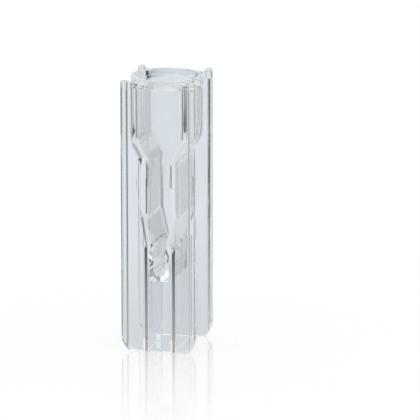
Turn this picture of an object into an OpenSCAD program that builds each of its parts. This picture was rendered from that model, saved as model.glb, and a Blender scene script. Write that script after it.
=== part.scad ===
// Micro cuvette with a round filling mouth, moulded in one piece from clear plastic.
// Two optical plates stand front and back.  Between them a flat-sided chamber narrows
// through a funnel and a slot to a measuring cell 2 mm wide, and a hollow foot stands below
// the cell.  A round ring on top of the chamber takes the stopper.
// Frame: origin in the middle of the base, +Z up, light path along Y.  Millimetres.

/* [Plates] */
// Width of a plate
plate_w = 12.5; // [12.1:0.1:15]
// Height of the plates
plate_h = 45; // [42:0.5:60]
// Light path: gap between the two plates
path_len = 10; // [9.8:0.1:10.4]
// Thickness of a plate between its beads
plate_t = 0.9; // [0.7:0.05:1.4]
// How far the beads along the upright edges stand proud of the outer face
bead_proud = 0.35; // [0.05:0.05:0.5]
// Width of the cut at a lower corner of a plate
corner_w = 1.2; // [0.6:0.1:1.8]
// Height of the cut at a lower corner of a plate
corner_h = 2.6; // [1.2:0.1:3.5]
// Radius of the curve of that cut
corner_r = 4.5; // [3.5:0.5:9]
// Rise of the round nubs on top of the back beads
back_nub = 0.6; // [0.3:0.05:0.6]
// Rise of the round nubs on top of the front beads
front_nub = 0.2; // [0.1:0.05:0.4]

/* [Mouth and chamber] */
// Radius of the bore
bore_r = 5.06; // [4.9:0.02:5.08]
// Wall of the ring around the bore
ring_wall = 0.8; // [0.7:0.02:0.82]
// Half width of the flat-sided chamber
void_x = 4; // [3.4:0.02:4.1]
// Wall beside the chamber
side_wall = 0.57; // [0.5:0.01:0.9]
// Height of the rim above the plates
rim_rise = 0.35; // [0.2:0.05:0.8]
// Wall of the rim around the stopper seat
rim_wall = 0.55; // [0.4:0.05:0.6]
// Depth of the stopper seat below the top of the rim
seat_depth = 0.92; // [0.6:0.02:1.2]
// Depth of the bore below the seat
bore_depth = 0.58; // [0.3:0.02:1.5]
// Thickness of the ring below the bore
ring_floor = 0.42; // [0.3:0.02:0.8]
// Rounding of the top edge of the rim
rim_round = 0.16; // [0.06:0.02:0.2]

/* [Funnel and slot] */
// Height at which the inside of the flat-sided funnel starts to narrow
flare_top = 35.9; // [34.6:0.1:38]
// Lean of the flat-sided funnel from the upright
flare_lean = 29; // [26:1:34]
// Radius of the bends of the flat-sided funnel
flare_r = 2.5; // [1.5:0.1:3]
// Drop of the outer bend below the inner one
flare_drop = 0.9; // [0.1:0.1:1.1]
// Half width of the slot
slot_x = 2.06; // [1.9:0.01:2.3]
// Wall beside the slot
slot_wall = 1.08; // [0.8:0.02:1.1]
// Height of the fine step down to the polished windows
step_z = 27.5; // [24:0.5:29]
// Depth of that step
step_d = 0.1; // [0.05:0.01:0.14]

/* [Measuring cell] */
// Half width of the cell
cell_x = 1; // [0.8:0.05:1.3]
// Height at which the slot starts to taper towards the cell
taper_top = 21.9; // [20.4:0.1:23]
// Height at which the taper ends and the cell starts
cell_top = 17.2; // [15:0.1:18]
// Height of the lowest line of the rounded floor
floor_z = 12.6; // [9:0.1:13]
// Thickness of the floor
floor_t = 0.8; // [0.6:0.05:1.3]
// Half width of the block around the cell
block_x = 1.65; // [1.55:0.05:1.9]
// Height at which the outside starts to taper towards the block
block_taper_top = 22.4; // [20.5:0.1:23.5]
// Height at which that taper reaches the block
block_taper_low = 14.8; // [13.5:0.1:16.5]

/* [Foot] */
// Height of the two foot walls
foot_h = 17.4; // [16:0.1:18]
// Inner half width of the foot, which leaves a narrow gap beside the cell block
foot_x = 2.05; // [2:0.05:2.3]
// Thickness of a foot wall
foot_wall = 0.55; // [0.45:0.05:0.9]

/* [Mould mark] */
// Width of the two small raised pads low on the front plate
pad_w = 0.9; // [0.5:0.1:1.2]
// Height of one pad
pad_h = 1.1; // [0.6:0.1:1.3]
// Relief of the pads
pad_relief = 0.08; // [0.04:0.02:0.14]
// Height of the lower edge of the lower pad
pad_z = 0.9; // [0.5:0.1:3]
// Gap between the pads
pad_gap = 0.25; // [0.1:0.05:0.5]

/* [Hidden] */
$fn = 96;
eps = 0.01;

inner_y = path_len / 2;
panel_y = inner_y + plate_t;
bead_r = (plate_t + bead_proud) / 2;
bead_x = plate_w / 2 - bead_r;
bead_y = inner_y + bead_r;
void_y = inner_y + step_d;
ring_r = bore_r + ring_wall;
side_x = void_x + side_wall;
slot_out = slot_x + slot_wall;
foot_out = foot_x + foot_wall;
rim_z = plate_h + rim_rise;
seat_z = rim_z - seat_depth;
collar_z = seat_z - bore_depth;
ring_low = collar_z - ring_floor;
cell_axis_z = floor_z + cell_x;
under_z = floor_z - floor_t;

function polar(c, r, a) = [c[0] + r * cos(a), c[1] + r * sin(a)];

// Stands a profile drawn in X and Z between y0 and y1.
module across(y0, y1) {
    translate([0, y1, 0]) rotate([90, 0, 0]) linear_extrude(y1 - y0) children();
}

// A shape and its mirror image about the plane X = 0.
module both_sides() {
    children();
    mirror([1, 0, 0]) children();
}

// Sector of a disc.
module sector(c, r, a0, a1) {
    intersection() {
        translate(c) circle(r);
        polygon([c, polar(c, 2 * r, a0), polar(c, 2 * r, (a0 + a1) / 2), polar(c, 2 * r, a1)]);
    }
}

// Right half of a flat-sided funnel: half width x0 below, x1 above, with two tangent bends.
// The upper bend runs out at height z1; the shape reaches from z_low to z_high.
module flare(x0, x1, z1, z_low, z_high) {
    a = flare_lean;
    r = flare_r;
    len = (x1 - x0 - 2 * r * (1 - cos(a))) / sin(a);
    upper = [x1 - r, z1];
    t3 = polar(upper, r, -a);
    t2 = [t3[0] - len * sin(a), t3[1] - len * cos(a)];
    lower = [x0 + r, t2[1] - r * sin(a)];
    difference() {
        polygon([[-0.5, z_low], [x0, z_low], [x0, lower[1]], t2, t3, [x1, z1],
                 [x1, z_high], [-0.5, z_high]]);
        sector(lower, r, 180 - a, 180);
    }
    sector(upper, r, -a, 0);
}

// Region removed at a lower corner of the plates, bounded by a curve that bulges outwards.
module corner_cut() {
    half = sqrt(corner_w * corner_w + corner_h * corner_h) / 2;
    lean = atan2(corner_h, corner_w);
    back = sqrt(corner_r * corner_r - half * half);
    mid_x = plate_w / 2 - corner_w / 2;
    difference() {
        translate([plate_w / 2 - corner_w, -1]) square([corner_w + 1, corner_h + 1]);
        translate([mid_x - back * sin(lean), corner_h / 2 + back * cos(lean)]) circle(corner_r);
    }
}

// Domed nub on a bead; its lower part lies inside the bead.
module nub(rise) {
    ball = (bead_r * bead_r + rise * rise) / (2 * rise);
    intersection() {
        translate([0, 0, rise - ball]) sphere(ball);
        translate([0, 0, -0.5]) cylinder(r = bead_r - 0.02, h = rise + 1);
    }
}

// One plate at the back, its inner face towards the light path.
module plate(nub_rise) {
    difference() {
        linear_extrude(plate_h) {
            translate([-bead_x, inner_y]) square([2 * bead_x, plate_t]);
            both_sides() translate([bead_x, bead_y]) circle(bead_r);
        }
        across(inner_y - 1, panel_y + 1) both_sides() corner_cut();
    }
    both_sides() translate([bead_x, bead_y, plate_h]) nub(nub_rise);
}

// Outside of the chamber, funnel, slot, taper and cell block.
module body_outside() {
    across(-inner_y - eps, inner_y + eps) both_sides() {
        flare(slot_out, side_x, flare_top - flare_drop, block_taper_top, plate_h);
        polygon([[-0.5, under_z], [block_x, under_z], [block_x, block_taper_low],
                 [slot_out, block_taper_top], [slot_out, block_taper_top + eps],
                 [-0.5, block_taper_top + eps]]);
    }
}

// Round ring around the bore and the stopper seat, with its top edge rounded.
module ring() {
    rotate_extrude() {
        translate([0, ring_low]) square([ring_r, rim_z - rim_round - ring_low]);
        translate([0, ring_low]) square([ring_r - rim_round, rim_z - ring_low]);
        sector([ring_r - rim_round, rim_z - rim_round], rim_round, 0, 90);
    }
}

module foot() {
    both_sides() translate([foot_x, -inner_y - eps, 0])
        cube([foot_wall, 2 * (inner_y + eps), foot_h]);
}

// Two small raised pads on the outer face of the front plate.
module mould_mark() {
    for (i = [0, 1])
        translate([-pad_w / 2, -panel_y - pad_relief, pad_z + i * (pad_h + pad_gap)])
            cube([pad_w, pad_relief + eps, pad_h]);
}

module bore() {
    translate([0, 0, collar_z]) cylinder(r = bore_r, h = rim_z + 1 - collar_z);
}

// Flat-sided void from the step up to the collar.
module upper_void() {
    across(-void_y, void_y) both_sides()
        flare(slot_x, void_x, flare_top, step_z, collar_z + eps);
}

// Slot, taper and cell between the polished windows.
module lower_void() {
    across(-inner_y, inner_y) both_sides() {
        polygon([[-0.5, cell_axis_z], [cell_x, cell_axis_z], [cell_x, cell_top],
                 [slot_x, taper_top], [slot_x, step_z + eps], [-0.5, step_z + eps]]);
        translate([0, cell_axis_z]) circle(cell_x);
    }
}

module seat() {
    translate([0, 0, seat_z]) cylinder(r = ring_r - rim_wall, h = seat_depth + 1);
}

module cuvette() {
    color([0.86, 0.90, 0.92, 0.45])
        difference() {
            union() {
                plate(back_nub);
                rotate([0, 0, 180]) plate(front_nub);
                body_outside();
                ring();
                foot();
                mould_mark();
            }
            bore();
            upper_void();
            lower_void();
            seat();
        }
}

cuvette();
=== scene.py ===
# %% [markdown]
# # A micro cuvette in clear plastic
# The object is one injection moulding.  Two flat optical plates stand front and back; between
# them a flat-sided chamber under a round mouth narrows through a funnel and a slot to a small
# measuring cell, with a hollow foot below.  We load the measured solid first, so that every new
# shape is made in the same place and in the same units, metres.

# %% Load the measured solid
import math
import bpy
import bmesh
from mathutils import Matrix, Vector


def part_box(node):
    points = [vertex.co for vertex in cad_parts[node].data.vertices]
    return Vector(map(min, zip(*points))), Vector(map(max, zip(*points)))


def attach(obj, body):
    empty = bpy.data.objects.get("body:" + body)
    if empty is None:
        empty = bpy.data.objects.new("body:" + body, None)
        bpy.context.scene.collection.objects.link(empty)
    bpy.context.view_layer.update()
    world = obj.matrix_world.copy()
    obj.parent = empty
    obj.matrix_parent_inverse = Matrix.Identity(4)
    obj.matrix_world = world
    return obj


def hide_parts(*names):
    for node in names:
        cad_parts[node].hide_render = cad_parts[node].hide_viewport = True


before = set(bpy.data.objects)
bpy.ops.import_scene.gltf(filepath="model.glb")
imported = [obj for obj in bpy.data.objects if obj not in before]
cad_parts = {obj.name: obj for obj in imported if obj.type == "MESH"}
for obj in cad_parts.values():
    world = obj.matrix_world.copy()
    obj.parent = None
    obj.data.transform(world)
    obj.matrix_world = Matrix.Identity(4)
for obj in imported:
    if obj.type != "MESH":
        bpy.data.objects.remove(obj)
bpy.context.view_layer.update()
LOW, HIGH = (Vector(corner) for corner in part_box("cuvette"))
print("solid", [round(v * 1000, 2) for v in LOW], [round(v * 1000, 2) for v in HIGH])

# %% [markdown]
# ## The camera
# A long lens stands to the front right of the cuvette and a little above it.  It comes before
# the modelling, so that every look at the scene is taken from the same place.

# %% Camera
CAMERA_AT = Vector((0.1600655, -0.6195057, 0.1757847))
CAMERA_AIM = Vector((-0.2329, 0.9442, -0.2328))
SENSOR_WIDTH, LENS = 36.0, 342.857
bpy.ops.object.select_all(action="DESELECT")
bpy.ops.object.camera_add(location=CAMERA_AT)
camera = bpy.context.object
camera.name = "product_camera"
camera.rotation_euler = CAMERA_AIM.to_track_quat("-Z", "Y").to_euler()
camera.data.sensor_width = SENSOR_WIDTH
camera.data.lens = LENS
camera.data.clip_start = 0.01
camera.data.clip_end = 20.0
bpy.context.scene.camera = camera
bpy.context.scene.view_settings.view_transform = "Standard"

# %% [markdown]
# ## Sizes
# The sizes are those of the solid, in millimetres, apart from the ring, the stopper seat, the
# side wall and the inner edge of the beads, which differ from it by up to 0.05 mm.  Y is the
# depth, along the light path.

# %% Sizes
MM = 0.001
WIDTH = 12.5
PLATE_H = 45.0
INNER_Y = 5.0
OUTER_Y = 6.25
BEAD_IN = 5.05
BACK_NUB, FRONT_NUB = 0.6, 0.2
BORE_R, RING_R = 5.06, 5.88
VOID_X, SIDE_X = 4.0, 4.572
VOID_Y = 5.1
RIM_Z, SEAT_Z, COLLAR_Z, RING_LOW = 45.35, 44.43, 43.85, 43.43
SEAT_R = 5.33
SLOT_X, SLOT_OUT = 2.06, 3.14
STEP_Z = 27.5
CELL_X, CELL_TOP, TAPER_TOP = 1.0, 17.2, 21.9
FLOOR_Z, UNDER_Z = 12.6, 11.8
CELL_OUT, BLOCK_TAPER, BLOCK_TAPER_TOP = 1.65, 14.8, 22.4
FOOT_H = 17.4
FLARE_LEAN, FLARE_R = 29.0, 2.5
CORNER_W, CORNER_H, CORNER_R = 1.2, 2.6, 4.5

# %% [markdown]
# ## Helpers
# A primitive is added at its place, shaped in edit mode, and joined to the others with
# boolean modifiers.  A boolean may list its corners in another order from run to run, and the
# merging and bevelling that follow depend on that order, so both meshes are sorted around it.

# %% Helpers for primitives and modifiers
# Places are sorted to the nanometre
PER_METRE = 1e9


def pick(obj):
    bpy.ops.object.select_all(action="DESELECT")
    obj.select_set(True)
    bpy.context.view_layer.objects.active = obj


def settle(obj, name):
    """Name a new object and put its place into its mesh."""
    obj.name = name
    pick(obj)
    bpy.ops.object.transform_apply(location=True, rotation=True, scale=True)
    return obj


def modify(obj, kind, **values):
    """Add a modifier, set it and apply it."""
    pick(obj)
    mod = obj.modifiers.new(kind.lower(), kind)
    for key, value in values.items():
        setattr(mod, key, value)
    bpy.ops.object.modifier_apply(modifier=mod.name)


def put_in_order(obj):
    """Write a mesh again with its corners and faces sorted by place, for the same result each run."""
    mesh = obj.data
    places = [tuple(round(c * PER_METRE) for c in vertex.co) for vertex in mesh.vertices]
    order = sorted(range(len(places)), key=places.__getitem__)
    rank = {old: new for new, old in enumerate(order)}
    faces = []
    for face in mesh.polygons:
        ring = [rank[i] for i in face.vertices]
        start = ring.index(min(ring))
        faces.append(ring[start:] + ring[:start])
    ordered = bpy.data.meshes.new(obj.name)
    ordered.from_pydata([[c / PER_METRE for c in places[i]] for i in order], [], sorted(faces))
    ordered.update()
    obj.data = ordered
    bpy.data.meshes.remove(mesh)


def combine(obj, tool, operation):
    put_in_order(tool)
    modify(obj, "BOOLEAN", operation=operation, solver="EXACT", object=tool)
    bpy.data.objects.remove(tool, do_unlink=True)
    put_in_order(obj)
    return obj


def block(name, low, high):
    """A box between two corners, in millimetres."""
    low, high = Vector(low) * MM, Vector(high) * MM
    bpy.ops.object.select_all(action="DESELECT")
    bpy.ops.mesh.primitive_cube_add(size=1, location=(low + high) / 2)
    bpy.context.object.scale = high - low
    return settle(bpy.context.object, name)


def arc(cx, cz, r, a0, a1, n):
    steps = [a0 + (a1 - a0) * i / n for i in range(n + 1)]
    return [(cx + r * math.cos(math.radians(a)), cz + r * math.sin(math.radians(a))) for a in steps]


def outline(name, points, axis, low, high, stops=()):
    """A disc whose corners are moved onto an outline, then extruded along Y or Z."""
    bpy.ops.object.select_all(action="DESELECT")
    bpy.ops.mesh.primitive_circle_add(vertices=len(points), radius=MM, fill_type="NGON")
    obj = settle(bpy.context.object, name)
    for vertex, (u, v) in zip(obj.data.vertices, points):
        vertex.co = (u * MM, v * MM, low * MM) if axis == "Z" else (u * MM, low * MM, v * MM)
    bpy.ops.object.mode_set(mode="EDIT")
    bpy.ops.mesh.select_all(action="SELECT")
    levels = [low, *stops, high]
    for here, there in zip(levels, levels[1:]):
        step = (0, 0, (there - here) * MM) if axis == "Z" else (0, (there - here) * MM, 0)
        bpy.ops.mesh.extrude_region_move(TRANSFORM_OT_translate={"value": step})
    bpy.ops.mesh.select_all(action="SELECT")
    bpy.ops.mesh.normals_make_consistent(inside=False)
    bpy.ops.object.mode_set(mode="OBJECT")
    return obj


def both(half):
    """An outline from its right half, listed upwards."""
    return half + [(-u, v) for u, v in reversed(half)]


def turned(name, steps, sides=160):
    """A round body: a disc that is extruded and resized step by step."""
    r0, z0 = steps[0]
    bpy.ops.object.select_all(action="DESELECT")
    bpy.ops.mesh.primitive_circle_add(vertices=sides, radius=r0 * MM, fill_type="NGON",
                                      location=(0, 0, z0 * MM))
    obj = settle(bpy.context.object, name)
    bpy.ops.object.mode_set(mode="EDIT")
    bpy.ops.mesh.select_all(action="SELECT")
    for (ra, za), (rb, zb) in zip(steps, steps[1:]):
        bpy.ops.mesh.extrude_region_move(TRANSFORM_OT_translate={"value": (0, 0, (zb - za) * MM)})
        bpy.ops.transform.resize(value=(rb / ra, rb / ra, 1), center_override=(0, 0, zb * MM))
    bpy.ops.mesh.select_all(action="SELECT")
    bpy.ops.mesh.normals_make_consistent(inside=False)
    bpy.ops.object.mode_set(mode="OBJECT")
    return obj


def round_edges(obj, test, width, segments=4):
    """Bevel the edges whose two ends, in millimetres, pass a test."""
    pick(obj)
    bpy.ops.object.mode_set(mode="EDIT")
    bpy.ops.mesh.select_mode(type="EDGE")
    bpy.ops.mesh.select_all(action="DESELECT")
    mesh = bmesh.from_edit_mesh(obj.data)
    count = 0
    for edge in mesh.edges:
        p, q = (v.co / MM for v in edge.verts)
        if test(p, q):
            edge.select = True
            count += 1
    bmesh.update_edit_mesh(obj.data)
    bpy.ops.mesh.bevel(offset=width * MM, segments=segments, affect="EDGES", profile=0.5)
    bpy.ops.object.mode_set(mode="OBJECT")
    print(obj.name, "rounded edges", count)
    return obj


def report(obj):
    mesh = obj.data
    size = [round(v * 1000, 2) for v in obj.dimensions]
    print(obj.name, len(mesh.vertices), "vertices", len(mesh.polygons), "faces", size)


def flare(x0, x1, z1, n=12):
    """Half widths and heights of a funnel with two tangent bends, from below upwards."""
    a = math.radians(FLARE_LEAN)
    length = (x1 - x0 - 2 * FLARE_R * (1 - math.cos(a))) / math.sin(a)
    top_start = (x1 - FLARE_R + FLARE_R * math.cos(a), z1 - FLARE_R * math.sin(a))
    low_end = (top_start[0] - length * math.sin(a), top_start[1] - length * math.cos(a))
    low_z = low_end[1] - FLARE_R * math.sin(a)
    return (arc(x0 + FLARE_R, low_z, FLARE_R, 180, 180 - FLARE_LEAN, n)
            + arc(x1 - FLARE_R, z1, FLARE_R, -FLARE_LEAN, 0, n))

# %% [markdown]
# ## The two plates
# Each plate is a thin sheet with a thick bead along both upright edges, so that only the beads
# touch the holder and the window stays free of scratches.  It could be one box with bars on it,
# but the beads have sloping shoulders and rounded corners that bend the light; so we draw the
# section once, round its corners and extrude it upwards.  Small rounded nubs top the beads.

# %% Plates
# A bead's slope starts at the half width toe, on the panel's outer face, and rises at a lean in
# degrees; its top falls by a few degrees towards the edge.  The other values are radii: of the
# outer corner, the inner corner, the top of the slope and its foot.  They come from a search
# over how such a section bends the light, and are not measured.
FRONT_BEAD = dict(toe=5.097, lean=58.2, panel=5.816, outer=0.212, inner=0.474,
                  top=0.347, foot=0.305, fall=3.07)
BACK_BEAD = dict(toe=5.45, lean=65.6, panel=5.862, outer=0.415, inner=0.491,
                 top=0.03, foot=0.266, fall=4.6)


def soften(points, radii, steps=6):
    """Round the inner corners of an open outline, each with its own radius."""
    out = [points[0]]
    for before, here, after, radius in zip(points, points[1:], points[2:], radii[1:]):
        here = Vector(here)
        a, b = Vector(before) - here, Vector(after) - here
        angle = a.angle(b)
        if radius < 0.01 or angle > 3.1:
            out.append(tuple(here))
            continue
        reach = min(radius / math.tan(angle / 2), 0.48 * a.length, 0.48 * b.length)
        radius = reach * math.tan(angle / 2)
        a.normalize()
        b.normalize()
        centre = here + (a + b).normalized() * radius / math.sin(angle / 2)
        start, end = here + a * reach - centre, here + b * reach - centre
        turn = start.angle_signed(end)
        for i in range(steps + 1):
            spoke = start.copy()
            spoke.rotate(Matrix.Rotation(-turn * i / steps, 2))
            out.append(tuple(centre + spoke))
    return out + [points[-1]]


def plate_outline(bead):
    """Right half of a plate's section, from the middle of its inner face outwards."""
    edge, toe, panel = WIDTH / 2, bead["toe"], bead["panel"]
    run = (OUTER_Y - panel) / math.tan(math.radians(bead["lean"]))
    drop = (edge - toe - run) * math.tan(math.radians(bead["fall"]))
    points = [(3.5, INNER_Y), (edge, INNER_Y), (edge, OUTER_Y - drop), (toe + run, OUTER_Y),
              (toe, panel), (3.5, panel)]
    radii = [0, bead["inner"], bead["outer"], bead["top"], bead["foot"], 0]
    return soften(points, radii)[1:-1]


def plate(name, side):
    half = plate_outline(BACK_BEAD if side > 0 else FRONT_BEAD)
    return outline(name, [(u, side * v) for u, v in both(half)], "Z", 0, PLATE_H)


body = plate("cuvette_moulding", 1)
combine(body, plate("front_plate", -1), "UNION")
report(body)


def nub(side_x, side_y, rise):
    """Rounded block on top of a bead."""
    x0, x1 = side_x * (BEAD_IN + 0.06), side_x * (WIDTH / 2 - 0.03)
    y0, y1 = side_y * (INNER_Y + 0.05), side_y * (OUTER_Y - 0.03)
    low = (min(x0, x1), min(y0, y1), PLATE_H - 1.2)
    high = (max(x0, x1), max(y0, y1), PLATE_H + rise)
    obj = block("nub", low, high)
    round_edges(obj, lambda p, q: abs(p.z - q.z) > 0.5, 0.34, 6)
    round_edges(obj, lambda p, q: min(p.z, q.z) > PLATE_H, min(0.33, rise * 0.9), 6)
    return obj


for side in (-1, 1):
    combine(body, nub(side, 1, BACK_NUB), "UNION")
    combine(body, nub(side, -1, FRONT_NUB), "UNION")
report(body)


# %% [markdown]
# ## Cuts at the lower corners
# The lower corners are trimmed in a shallow curve, so that the cuvette slides into its holder.
# One cutter with a curved side is taken away from both plates, left and right.

# %% Corner cuts
def corner_cutter(side):
    half = math.hypot(CORNER_W, CORNER_H) / 2
    lean = math.atan2(CORNER_H, CORNER_W)
    back = math.sqrt(CORNER_R ** 2 - half ** 2)
    cx = WIDTH / 2 - CORNER_W / 2 - back * math.sin(lean)
    cz = CORNER_H / 2 + back * math.cos(lean)
    start = math.degrees(math.atan2(-cz, WIDTH / 2 - CORNER_W - cx))
    end = math.degrees(math.atan2(CORNER_H - cz, WIDTH / 2 - cx))
    curve = arc(cx, cz, CORNER_R, start, end, 14)
    points = curve + [(WIDTH / 2 + 1, CORNER_H + 0.3), (WIDTH / 2 + 1, -1), (curve[0][0] - 0.3, -1)]
    return outline("corner", [(side * u, v) for u, v in points], "Y", -8, 8)


for side in (-1, 1):
    combine(body, corner_cutter(side), "DIFFERENCE")
report(body)

# %% [markdown]
# ## The body between the plates
# The walls follow the mould: they lean a little for draft and meet the plates in small fillets.
# Those fillets and drafts are what draws the dark upright lines in clear plastic.  We extrude
# the side view in several depth steps and move every step outwards by the fillet at its depth;
# a bevel could not change from the chamber's fillets to the neck's on its way down.  The ring of
# the mouth is a disc that is extruded and resized, and the two foot walls are extruded upwards.

# %% Outside of the chamber, funnel, neck and cell
OVER = 0.02
RIM_ROUND = 0.16
# Radius of the front and back fillets, and how much wider a side is at the back, for the
# chamber and for the neck below it; between the two heights one runs into the other.  Like the
# beads, they come from a search over how the walls bend the light.
CHAMBER_FLANK, NECK_FLANK = (0.357, 0.086, 0.098), (0.02, 0.41, -0.177)
FLANK_LOW, FLANK_HIGH = 34.5, 37.0
# Height of the outer bend of the funnel, and how close to a plate a fillet is followed
OUTER_BEND, NEAREST = 35.0, 0.012


def between(z, low, high):
    """How far a height is from one level to the next, from 0 to 1."""
    return min(max((z - low) / (high - low), 0), 1)


def fillet_reach(depth, radius):
    """Extra half width of a fillet at a depth from the plate."""
    return 0 if depth >= radius else radius - math.sqrt(radius ** 2 - (radius - depth) ** 2)


def flank(y, z):
    """Extra half width of the body's side at a place."""
    upper_share = between(z, FLANK_LOW, FLANK_HIGH)
    fillets = between(z, BLOCK_TAPER, BLOCK_TAPER_TOP)
    total = 0
    shares = ((upper_share, CHAMBER_FLANK), (1 - upper_share, NECK_FLANK))
    for weight, (front, back, spread) in shares:
        total += weight * (fillets * fillet_reach(max(y + INNER_Y, NEAREST), front)
                           + fillets * fillet_reach(max(INNER_Y - y, NEAREST), back)
                           + spread * (y + INNER_Y) / (2 * INNER_Y))
    return total


half = ([(CELL_OUT, UNDER_Z), (CELL_OUT, BLOCK_TAPER), (SLOT_OUT, BLOCK_TAPER_TOP)]
        + flare(SLOT_OUT, SIDE_X, OUTER_BEND) + [(SIDE_X, FLANK_HIGH), (SIDE_X, PLATE_H)])
LARGEST_FILLET = max(CHAMBER_FLANK[:2] + NECK_FLANK[:2])
depths = [LARGEST_FILLET * (1 - math.cos(math.radians(15 * i))) for i in range(1, 7)]
stops = [-INNER_Y + d for d in depths] + [INNER_Y - d for d in reversed(depths)]
outer = outline("flat_body", both(half), "Y", -INNER_Y - OVER, INNER_Y + OVER, stops)
for vertex in outer.data.vertices:
    x, y, z = vertex.co / MM
    vertex.co.x += math.copysign(1, x) * flank(y, z) * MM
combine(body, outer, "UNION")
crown = [(RING_R - RIM_ROUND + u, v) for u, v in arc(0, RIM_Z - RIM_ROUND, RIM_ROUND, 0, 90, 6)]
combine(body, turned("ring", [(RING_R, RING_LOW)] + crown), "UNION")
# Inner and outer half width of the foot at the front and at the back, also from the search
FOOT_FRONT, FOOT_BACK, FOOT_FILLET = (1.901, 2.745), (2.072, 2.595), 0.15
FOOT_ROOT = 3.4
for side in (-1, 1):
    corner = soften([(FOOT_FRONT[1], -INNER_Y - OVER), (FOOT_BACK[1], INNER_Y), (FOOT_ROOT, INNER_Y)],
                    [0, FOOT_FILLET, 0])
    points = corner + [(FOOT_ROOT, INNER_Y + OVER), (FOOT_BACK[0], INNER_Y + OVER),
                       (FOOT_FRONT[0], -INNER_Y - OVER)]
    wall = outline("foot_wall", [(side * u, v) for u, v in points], "Z", 0, FOOT_H + OVER)
    combine(body, wall, "UNION")
report(body)

# %% [markdown]
# ## The mould mark
# Two small raised pads low on the front plate, where the mould carries its mark; they are left
# without any sign.

# %% Mould mark
PAD_W, PAD_H, PAD_RELIEF, PAD_Z, PAD_GAP = 0.9, 1.1, 0.08, 0.6, 0.25
FRONT_FACE = -FRONT_BEAD["panel"]
for i in range(2):
    low = PAD_Z + i * (PAD_H + PAD_GAP)
    pad = block("pad", (-PAD_W / 2, FRONT_FACE - PAD_RELIEF, low),
                (PAD_W / 2, FRONT_FACE + OVER, low + PAD_H))
    round_edges(pad, lambda p, q: max(p.y, q.y) < FRONT_FACE, 0.07, 3)
    combine(body, pad, "UNION")
report(body)

# %% [markdown]
# ## The cavity
# The inside is one core: a stopper seat and a short round bore, the flat-sided chamber, the
# funnel and the slot.  Below a fine step the faces are polished windows and the slot narrows to
# the measuring cell with its rounded floor.  The core is made of three solids that are cut out
# one after another, because the round bore and the flat chamber cannot share one section.

# %% Cavity
CORE_ROUND, SLOT_ROUND = 0.525, 0.39
INNER_BEND = 35.9


def profile_edge(z_free, side):
    """Edges of a void's outline, front or back, apart from those at the given heights."""
    def test(p, q):
        along_y = abs(p.y - q.y) > 0.5
        at_free = any(abs(p.z - z) < 0.001 and abs(q.z - z) < 0.001 for z in z_free)
        return not along_y and not at_free and p.y * side > 0
    return test


cavity = turned("bore", [(BORE_R, COLLAR_Z), (BORE_R, SEAT_Z), (SEAT_R, SEAT_Z),
                         (SEAT_R, RIM_Z + 1)])
upper = outline("upper_void", both([(SLOT_X, STEP_Z)] + flare(SLOT_X, VOID_X, INNER_BEND)
                                   + [(VOID_X, FLANK_HIGH), (VOID_X, COLLAR_Z + OVER)]),
                "Y", -VOID_Y, VOID_Y)
for vertex in upper.data.vertices:
    x, y, z = vertex.co / MM
    spread = CHAMBER_FLANK[2] * between(z, FLANK_LOW, FLANK_HIGH) * (y + INNER_Y) / (2 * INNER_Y)
    vertex.co.x += math.copysign(1, x) * spread * MM
round_edges(upper, profile_edge((STEP_Z, COLLAR_Z + OVER), -1), CORE_ROUND)
LOWER_TOP = STEP_Z + OVER
half = (arc(0, FLOOR_Z + CELL_X, CELL_X, -90, 0, 12)[1:] + [(CELL_X, CELL_TOP), (SLOT_X, TAPER_TOP),
        (SLOT_X, LOWER_TOP)])
lower = outline("lower_void", [(0, FLOOR_Z)] + both(half), "Y", -INNER_Y, INNER_Y)
round_edges(lower, profile_edge((LOWER_TOP,), 1), SLOT_ROUND)
combine(body, cavity, "DIFFERENCE")
combine(body, upper, "DIFFERENCE")
combine(body, lower, "DIFFERENCE")
report(body)

# %% [markdown]
# ## Soft edges
# A moulded edge is never sharp.  Close corners left by the cuts are merged first, then every
# edge sharper than a shallow bend gets a small bevel.  The lines where a taper starts stay
# creased, so that the shading does not bend the flat walls beside them.

# %% Soft edges
pick(body)
bpy.ops.object.mode_set(mode="EDIT")
bpy.ops.mesh.select_all(action="SELECT")
bpy.ops.mesh.remove_doubles(threshold=0.000004)
bpy.ops.object.mode_set(mode="OBJECT")
put_in_order(body)
pick(body)
bpy.ops.object.mode_set(mode="EDIT")
bpy.ops.mesh.select_all(action="SELECT")
bpy.ops.mesh.dissolve_limited(angle_limit=math.radians(0.2))
bpy.ops.object.mode_set(mode="OBJECT")
put_in_order(body)
report(body)
modify(body, "BEVEL", width=0.06 * MM, segments=3, limit_method="ANGLE",
       angle_limit=math.radians(30), use_clamp_overlap=True, miter_outer="MITER_SHARP")
put_in_order(body)
report(body)
modify(body, "TRIANGULATE")
pick(body)
bpy.ops.object.shade_smooth_by_angle(angle=math.radians(28))
CREASES = (CELL_TOP, TAPER_TOP, BLOCK_TAPER, BLOCK_TAPER_TOP)
creased = 0
for edge in body.data.edges:
    p, q = (body.data.vertices[i].co / MM for i in edge.vertices)
    if any(abs(p.z - z) < 0.01 and abs(q.z - z) < 0.01 for z in CREASES):
        edge.use_edge_sharp = True
        creased += 1
print("creased edges", creased)
modify(body, "WEIGHTED_NORMAL", mode="FACE_AREA", weight=100, keep_sharp=True)

# %% [markdown]
# ## The plastic
# It is taken to be polished polystyrene: clear, glossy, with a trace of blue and very faint
# waves left by the flow of the melt, drawn out along the height.  The core's faces above the
# windows are satin, and the pads are frosted.  Every finish is a Principled shader with transmission.

# %% Material
TINT = (0.985, 0.993, 0.997, 1)
FLOW_DEPTH = 0.0012 * MM


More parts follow.
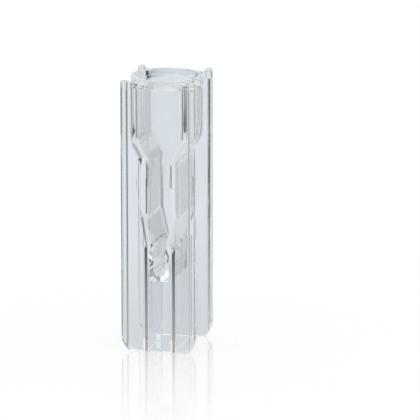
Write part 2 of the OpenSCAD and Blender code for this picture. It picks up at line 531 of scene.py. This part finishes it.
def flow(mat, rise):
    """Faint waves along the flow of the melt, fine across and long upwards."""
    nodes, links = mat.node_tree.nodes, mat.node_tree.links
    where, stretch = nodes.new("ShaderNodeTexCoord"), nodes.new("ShaderNodeMapping")
    stretch.inputs["Scale"].default_value = (900, 900, 60)
    noise, bump = nodes.new("ShaderNodeTexNoise"), nodes.new("ShaderNodeBump")
    noise.inputs["Scale"].default_value = 1.0
    noise.inputs["Detail"].default_value = 1.0
    bump.inputs["Strength"].default_value = 1.0
    bump.inputs["Distance"].default_value = rise
    links.new(where.outputs["Object"], stretch.inputs["Vector"])
    links.new(stretch.outputs["Vector"], noise.inputs["Vector"])
    links.new(noise.outputs["Fac"], bump.inputs["Height"])
    links.new(bump.outputs["Normal"], nodes["Principled BSDF"].inputs["Normal"])


def clear(name, roughness):
    mat = bpy.data.materials.new(name)
    mat.use_nodes = True
    shader = mat.node_tree.nodes["Principled BSDF"]
    shader.inputs["Base Color"].default_value = TINT
    shader.inputs["Roughness"].default_value = roughness
    shader.inputs["IOR"].default_value = 1.5
    shader.inputs["Transmission Weight"].default_value = 1.0
    flow(mat, FLOW_DEPTH)
    return mat


body.data.materials.clear()
body.data.materials.append(clear("clear_plastic", 0.0))
body.data.materials.append(clear("core_finish", 0.16))
frost = clear("pad_frost", 0.6)
frost.node_tree.nodes["Principled BSDF"].inputs["Transmission Weight"].default_value = 0.3
body.data.materials.append(frost)
satin = 0
for face in body.data.polygons:
    c = face.center / MM
    if abs(c.x) < PAD_W / 2 - 0.05 and c.z < 5 and c.y < FRONT_FACE - 0.6 * PAD_RELIEF:
        face.material_index = 2
    if abs(abs(c.y) - VOID_Y) < 0.02 and abs(face.normal.y) > 0.99:
        face.material_index = 1
        satin += 1
print("satin faces", satin, "materials", [slot.name for slot in body.material_slots])
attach(body, "root")
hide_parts("cuvette")

# %% [markdown]
# ## The floor
# A white glossy table that mirrors the foot of the cuvette; the mirror image fades with the
# distance.  Rays that have gone through the plastic pass it by, so that they see the studio.

# %% Floor
bpy.ops.object.select_all(action="DESELECT")
bpy.ops.mesh.primitive_plane_add(size=4, location=(0, 0, -0.00002))
floor = settle(bpy.context.object, "floor")
floor.visible_transmission = False
paper = bpy.data.materials.new("floor_white")
paper.use_nodes = True
nodes, links = paper.node_tree.nodes, paper.node_tree.links
nodes.clear()
out = nodes.new("ShaderNodeOutputMaterial")
coat_mix = nodes.new("ShaderNodeMixShader")
coord = nodes.new("ShaderNodeTexCoord")
length = nodes.new("ShaderNodeVectorMath")
length.operation = "LENGTH"
fade = nodes.new("ShaderNodeMapRange")
fade.inputs["From Min"].default_value = 0.004
fade.inputs["From Max"].default_value = 0.05
fade.inputs["To Min"].default_value = 0.5
fade.inputs["To Max"].default_value = 0.0
matt = nodes.new("ShaderNodeBsdfDiffuse")
matt.inputs["Color"].default_value = (0.95, 0.95, 0.95, 1)
glow = nodes.new("ShaderNodeEmission")
glow.inputs["Strength"].default_value = 1.02
lift = nodes.new("ShaderNodeMixShader")
lift.inputs[0].default_value = 0.75
mirror = nodes.new("ShaderNodeBsdfGlossy")
mirror.inputs["Roughness"].default_value = 0.06
mirror.inputs["Color"].default_value = (1, 1, 1, 1)
links.new(coord.outputs["Object"], length.inputs[0])
links.new(length.outputs["Value"], fade.inputs["Value"])
links.new(fade.outputs["Result"], coat_mix.inputs[0])
links.new(matt.outputs[0], lift.inputs[1])
links.new(glow.outputs[0], lift.inputs[2])
links.new(lift.outputs[0], coat_mix.inputs[1])
links.new(mirror.outputs[0], coat_mix.inputs[2])
links.new(coat_mix.outputs[0], out.inputs["Surface"])
floor.data.materials.append(paper)

# %% [markdown]
# ## The light
# Clear plastic shows only what stands around it.  A white studio with dark cards to the sides
# gives the dark upright lines; lower down the cards fade, as they do near a white table.  The
# compass lists give the brightness of the cards by direction, 0 straight behind.  Some of the
# brightnesses come from the same search as the walls, and were then changed.

# %% World
DARK = 0.05
CARDS = [(-30, DARK), (-19, DARK), (-17.3, 0.1), (-15.6, 0.58), (-14, 0.75), (-12, 0.8),
         (-7, 0.95), (-2, 1.0), (22, 1.0), (30, 0.85), (40, 0.6), (45, 0.08), (50, 0.1),
         (57, 0.36), (65, 0.6), (74, DARK), (122, DARK), (127, 1.0), (143, 1.0), (148, DARK),
         (168, DARK), (172, 1.0), (188, 1.0), (192, DARK), (213, DARK), (217, 1.0), (233, 1.0),
         (238, DARK)]
LOW_CARDS = [(-120, 0.65), (-60, 0.65), (-53, DARK), (-38, DARK), (-30, 0.37), (-19, 0.54),
             (-16.8, 0.89), (-12.5, 0.92), (-7, 0.9), (-2, 0.9), (22, 0.9), (30, 0.8),
             (40, 0.6), (45, 0.35), (65, 0.6), (74, 0.3), (120, 0.3)]
SIDE_CARDS = [(78, 0.0), (82, 1.0), (98, 1.0), (102, 0.0), (258, 0.0), (262, 1.0), (278, 1.0),
              (282, 0.0)]
UPWARD_LIGHT, SKY_LIGHT = 0.48, 0.1
TABLE_SEEN = (0.735, 0.785, 0.827, 1)
world = bpy.data.worlds.new("studio")
bpy.context.scene.world = world
world.use_nodes = True
wn, wl = world.node_tree.nodes, world.node_tree.links
wn.clear()


def math_node(operation, first, second=None):
    node = wn.new("ShaderNodeMath")
    node.operation = operation
    for socket, value in zip(node.inputs, (first, second)):
        if value is None:
            continue
        if isinstance(value, (int, float)):
            socket.default_value = value
        else:
            wl.new(value, socket)
    return node.outputs[0]


def ramp(value, table):
    """A colour ramp over the compass, from a table of degrees and brightness."""
    node = wn.new("ShaderNodeValToRGB")
    stops = sorted((((a + 180) % 360) / 360, v) for a, v in table)
    elements = node.color_ramp.elements
    elements[0].position, elements[0].color = stops[0][0], (stops[0][1],) * 3 + (1,)
    elements[1].position, elements[1].color = stops[-1][0], (stops[-1][1],) * 3 + (1,)
    for position, brightness in stops[1:-1]:
        elements.new(position).color = (brightness,) * 3 + (1,)
    wl.new(value, node.inputs[0])
    return node.outputs["Color"]


def fade_node(value, low, high):
    node = wn.new("ShaderNodeMapRange")
    node.inputs["From Min"].default_value = low
    node.inputs["From Max"].default_value = high
    wl.new(value, node.inputs["Value"])
    return node.outputs["Result"]


def climb(low, high):
    """Share from 0 to 1 between two angles above the horizon, in degrees."""
    return fade_node(height, math.sin(math.radians(low)), math.sin(math.radians(high)))


direction = wn.new("ShaderNodeTexCoord").outputs["Generated"]
split = wn.new("ShaderNodeSeparateXYZ")
wl.new(direction, split.inputs[0])
compass = math_node("ARCTAN2", math_node("MULTIPLY", split.outputs["X"], -1), split.outputs["Y"])
share = fade_node(compass, -math.pi, math.pi)
height = split.outputs["Z"]
low_light = climb(-18.5, -21.5)
high_light = climb(38, 50)
level = fade_node(math_node("ABSOLUTE", height, 0), math.sin(math.radians(18)),
                  math.sin(math.radians(15.5)))
upper_cards, lower_cards = ramp(share, CARDS), ramp(share, LOW_CARDS)
cards = wn.new("ShaderNodeMix")
cards.data_type = "RGBA"
wl.new(climb(-13.9, -15.1), cards.inputs[0])
wl.new(upper_cards, cards.inputs[6])
wl.new(lower_cards, cards.inputs[7])
cards = cards.outputs[2]
sides = math_node("MULTIPLY", ramp(share, SIDE_CARDS), level)
upward = math_node("MULTIPLY", climb(-10.5, -6), UPWARD_LIGHT)
sky = math_node("MULTIPLY", climb(6, 10), SKY_LIGHT)
upward = math_node("SUBTRACT", upward, sky)
light = math_node("MAXIMUM", math_node("MAXIMUM", math_node("MAXIMUM", cards, sides), upward),
                  math_node("MAXIMUM", low_light, high_light))
tone = wn.new("ShaderNodeMix")
tone.data_type = "RGBA"
tone.inputs[6].default_value = TABLE_SEEN
tone.inputs[7].default_value = (1, 1, 1, 1)
wl.new(climb(-6, 2), tone.inputs[0])
lit = wn.new("ShaderNodeVectorMath")
lit.operation = "SCALE"
wl.new(tone.outputs[2], lit.inputs[0])
wl.new(light, lit.inputs["Scale"])
path = wn.new("ShaderNodeLightPath")
choose = wn.new("ShaderNodeMix")
choose.data_type = "RGBA"
choose.inputs[6].default_value = (1, 1, 1, 1)
off_plastic = math_node("MAXIMUM", path.outputs["Is Glossy Ray"],
                        path.outputs["Is Transmission Ray"])
wl.new(off_plastic, choose.inputs[0])
wl.new(lit.outputs[0], choose.inputs[7])
back = wn.new("ShaderNodeBackground")
wout = wn.new("ShaderNodeOutputWorld")
wl.new(choose.outputs[2], back.inputs["Color"])
wl.new(back.outputs[0], wout.inputs["Surface"])

# %% [markdown]
# ## Bounces
# Light crosses many faces inside one clear part, so it is allowed many bounces.

# %% Bounces
cycles = bpy.context.scene.cycles
cycles.max_bounces = 40
cycles.transmission_bounces = 40
cycles.glossy_bounces = 40
